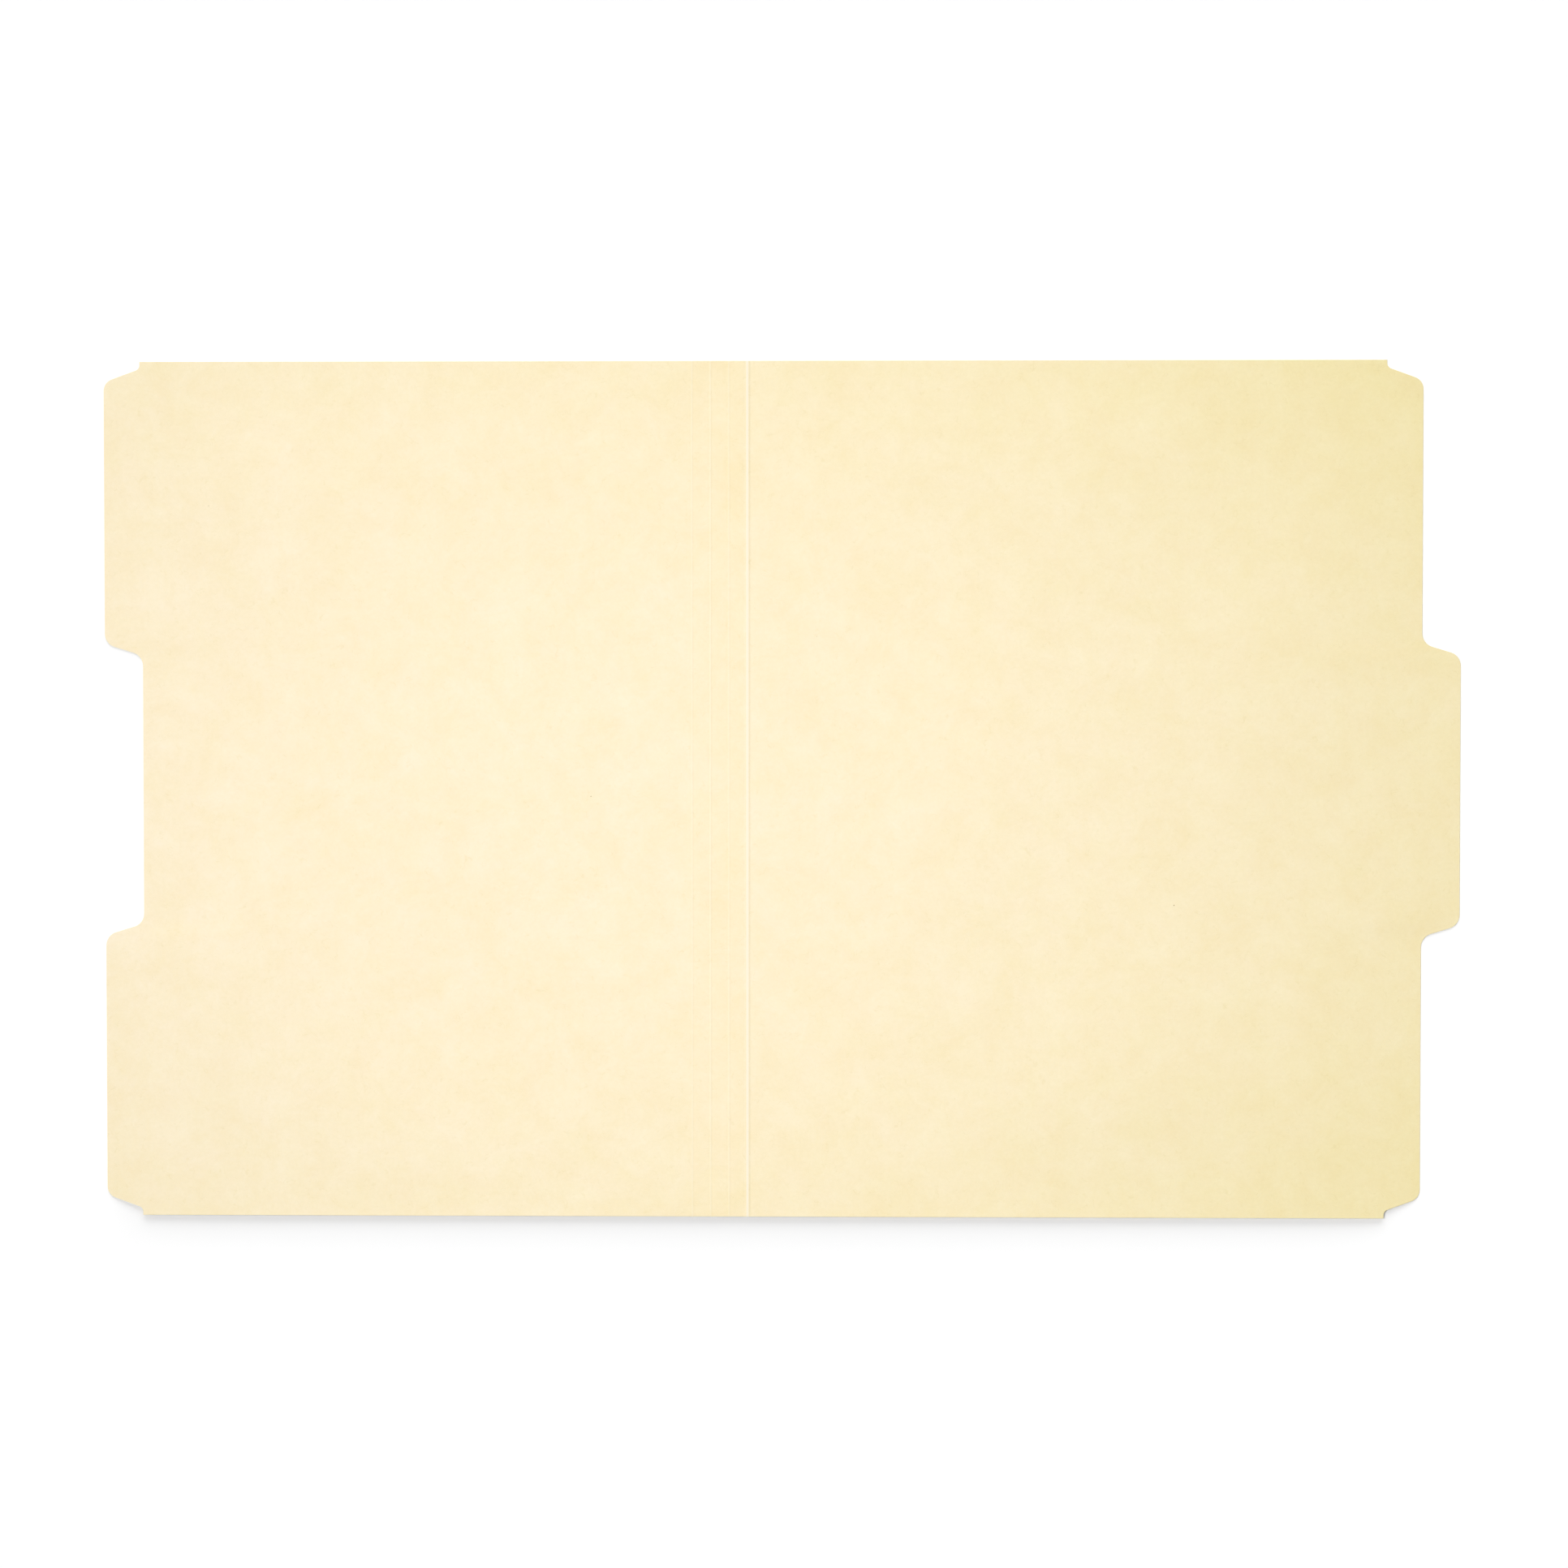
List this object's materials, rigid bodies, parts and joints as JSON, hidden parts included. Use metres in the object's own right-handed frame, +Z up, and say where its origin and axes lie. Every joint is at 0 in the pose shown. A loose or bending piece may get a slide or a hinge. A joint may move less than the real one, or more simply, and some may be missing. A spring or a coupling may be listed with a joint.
{
  "type": "manila file folder",
  "caption": "Creased sheet folder with tabbed leaves, lying open; it folds along its spine and gusset scores to hold loose papers.",
  "frame": {"origin": "middle of the main fold, on the plane that the open folder lies on", "axes": "+X across the fold towards the back leaf, +Y along the fold, +Z up out of the inside face"},
  "size_m": [0.4672, 0.2954, 0.0006],
  "materials": {
    "manila_stock": "matt uncoated folder stock"
  },
  "bodies": {
    "back": {"back_leaf": "manila_stock", "main_fold_bead": "manila_stock"},
    "strip_1": {"gusset_strip_1": "manila_stock", "score_bead_1": "manila_stock"},
    "strip_2": {"gusset_strip_2": "manila_stock", "score_bead_2": "manila_stock"},
    "strip_3": {"gusset_strip_3": "manila_stock", "score_bead_3": "manila_stock"},
    "front": {"front_leaf": "manila_stock"}
  },
  "joints": [
    {"name": "main_fold", "type": "hinge", "parent": "back", "child": "strip_1", "pos_m": [0, 0, 0.00028], "axis": [0, 1, 0], "range_deg": [0, 150]},
    {"name": "score_1_fold", "type": "hinge", "parent": "strip_1", "child": "strip_2", "pos_m": [-0.00635, 0, 0.00028], "axis": [0, 1, 0], "range_deg": [0, 10]},
    {"name": "score_2_fold", "type": "hinge", "parent": "strip_2", "child": "strip_3", "pos_m": [-0.0127, 0, 0.00028], "axis": [0, 1, 0], "range_deg": [0, 10]},
    {"name": "score_3_fold", "type": "hinge", "parent": "strip_3", "child": "front", "pos_m": [-0.01905, 0, 0.00028], "axis": [0, 1, 0], "range_deg": [0, 10]}
  ]
}
